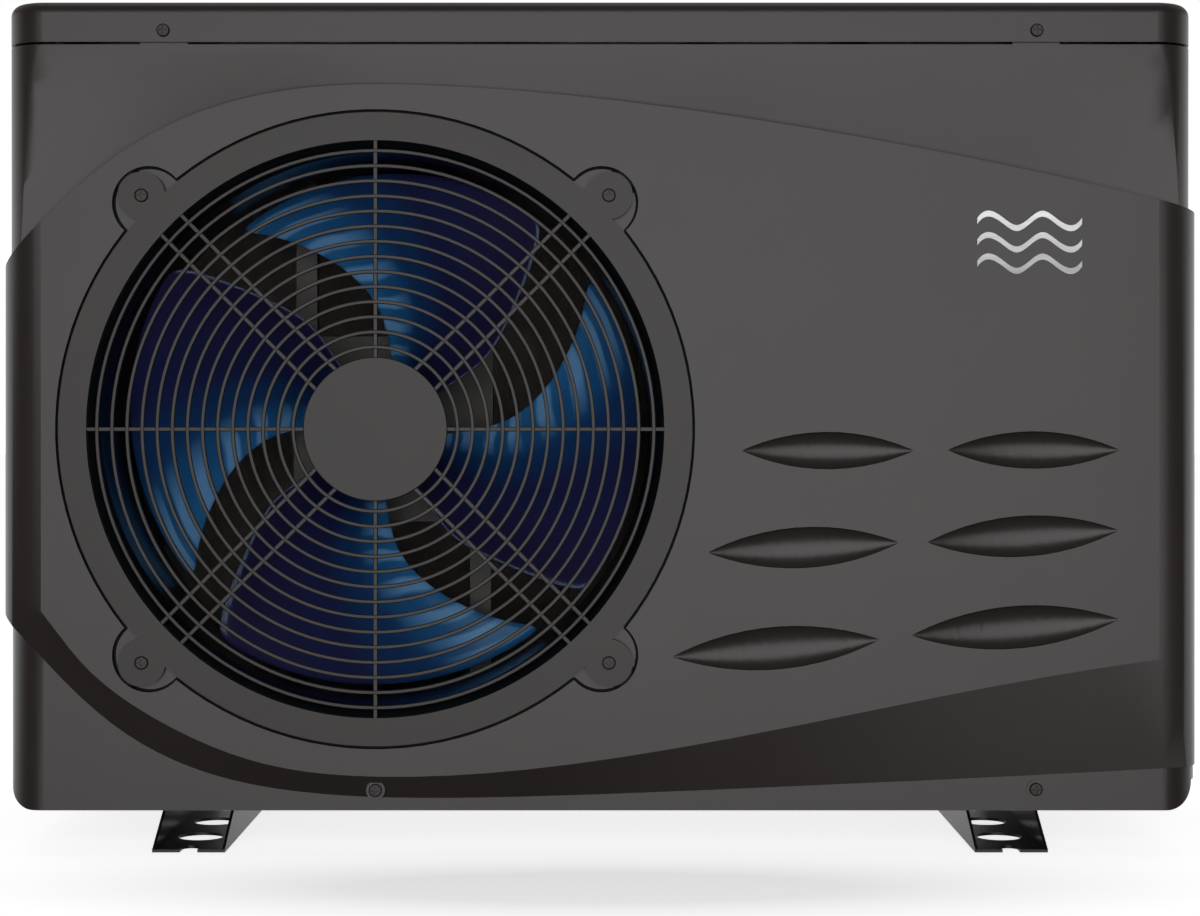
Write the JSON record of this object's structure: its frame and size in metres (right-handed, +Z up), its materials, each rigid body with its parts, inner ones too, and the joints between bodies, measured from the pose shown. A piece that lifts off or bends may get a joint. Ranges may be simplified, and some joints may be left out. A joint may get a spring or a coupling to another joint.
{
  "type": "pool heat pump",
  "caption": "Pool heat pump: rounded moulded casing with a swept raised band, a round fan grille and gill dimples on the front, channel feet below and pipe unions on one side.",
  "frame": {"origin": "on the ground, under the middle of the four outer round holes of the feet", "axes": "+X along the width towards the pipe unions, -Y out of the front with the fan grille, +Z up"},
  "size_m": [1.063, 0.4196, 0.721],
  "materials": {
    "casing_plastic": "fine-grained dark grey-brown moulding",
    "grille_plastic": "fine-grained dark moulding",
    "shroud_plastic": "glossy black",
    "blue_fan": "glossy indigo to blue",
    "black_steel": "satin black powder coat",
    "galvanised_steel": "galvanised sheet",
    "fastener_steel": "dark plated",
    "black_paint": "satin black paint",
    "fin_aluminium": "thin mill-finish sheet",
    "copper": "drawn copper tube",
    "valve_brass": "machined brass",
    "titanium": "drawn titanium tube",
    "pipe_plastic": "grey pressure-pipe plastic",
    "nut_plastic": "ribbed black moulding",
    "seal_rubber": "soft black rubber",
    "fitting_plastic": "black moulding",
    "board": "lacquered board",
    "capacitor_can": "plain can",
    "screen": "dark display window",
    "clear_plastic": "clear, slightly smoky",
    "gauge_steel": "brushed rim",
    "dial_white": "printed dial",
    "needle_black": "black needle",
    "key_plastic": "soft-touch keys",
    "emblem_silver": "satin silver"
  },
  "bodies": {
    "root": {"accumulator": "black_paint", "base_tray": "galvanised_steel", "cable_glands": "fitting_plastic", "circuit_board": "board", "compressor": "black_paint", "compressor_mounts": "seal_rubber", "controller_bezel": "grille_plastic", "controller_screen": "screen", "cross_screws": "fastener_steel", "drain_spout": "fitting_plastic", "electrical_box": "galvanised_steel", "electrical_cover": "galvanised_steel", "evaporator_end_plates": "galvanised_steel", "evaporator_fins": "fin_aluminium", "evaporator_tubes": "copper", "exchanger_caps": "pipe_plastic", "exchanger_coil": "titanium", "exchanger_shell": "pipe_plastic", "expansion_valve": "valve_brass", "fan_grille": "grille_plastic", "fan_motor": "black_paint", "fan_shroud": "shroud_plastic", "flap_pin": "fastener_steel", "front_panel": "casing_plastic", "gauge_case": "gauge_steel", "gauge_dial": "dial_white", "gauge_lens": "clear_plastic", "hex_bolts": "fastener_steel", "left_foot": "black_steel", "left_side_panel": "casing_plastic", "motor_plate": "galvanised_steel", "motor_rails": "galvanised_steel", "partition_panel": "galvanised_steel", "rear_guard": "grille_plastic", "rear_panel": "casing_plastic", "refrigerant_pipes": "copper", "reversing_valve": "valve_brass", "right_foot": "black_steel", "right_side_panel": "casing_plastic", "run_capacitor": "capacitor_can", "side_grips": "grille_plastic", "straps": "galvanised_steel", "terminal_block": "fitting_plastic", "terminal_cover": "fitting_plastic", "top_cover": "casing_plastic", "union_bodies": "pipe_plastic", "union_seals": "seal_rubber", "union_tails": "pipe_plastic", "valve_coil": "fitting_plastic", "wave_emblem": "emblem_silver"},
    "fan_rotor": {"fan": "blue_fan", "fan_nut": "fastener_steel", "motor_shaft": "fastener_steel"},
    "inlet_nut": {"inlet_union_nut": "nut_plastic"},
    "outlet_nut": {"outlet_union_nut": "nut_plastic"},
    "needle": {"gauge_needle": "needle_black"},
    "flap": {"control_flap": "clear_plastic"},
    "power_key": {"button_power": "key_plastic"},
    "down_key": {"button_down": "key_plastic"},
    "up_key": {"button_up": "key_plastic"}
  },
  "joints": [
    {"name": "fan_spin", "type": "hinge", "parent": "root", "child": "fan_rotor", "pos_m": [-0.189, -0.1, 0.36], "axis": [0, -1, 0], "continuous": true},
    {"name": "inlet_nut_turn", "type": "hinge", "parent": "root", "child": "inlet_nut", "pos_m": [0.523, 0.084, 0.13], "axis": [1, 0, 0], "range_deg": [0, 180]},
    {"name": "outlet_nut_turn", "type": "hinge", "parent": "root", "child": "outlet_nut", "pos_m": [0.523, 0.084, 0.4], "axis": [1, 0, 0], "range_deg": [0, 180]},
    {"name": "needle_turn", "type": "hinge", "parent": "root", "child": "needle", "pos_m": [0.51, -0.062, 0.35], "axis": [-1, 0, 0], "range_deg": [0, 270], "stiffness_Nm_per_rad": 0.002},
    {"name": "flap_hinge", "type": "hinge", "parent": "root", "child": "flap", "pos_m": [0.5135, -0.04, 0.5715], "axis": [0, -1, 0], "range_deg": [0, 110]},
    {"name": "power_press", "type": "slide", "parent": "root", "child": "power_key", "axis": [-1, 0, 0], "range_m": [0, 0.0012], "stiffness_N_per_m": 400},
    {"name": "down_press", "type": "slide", "parent": "root", "child": "down_key", "axis": [-1, 0, 0], "range_m": [0, 0.0012], "stiffness_N_per_m": 400},
    {"name": "up_press", "type": "slide", "parent": "root", "child": "up_key", "axis": [-1, 0, 0], "range_m": [0, 0.0012], "stiffness_N_per_m": 400}
  ]
}
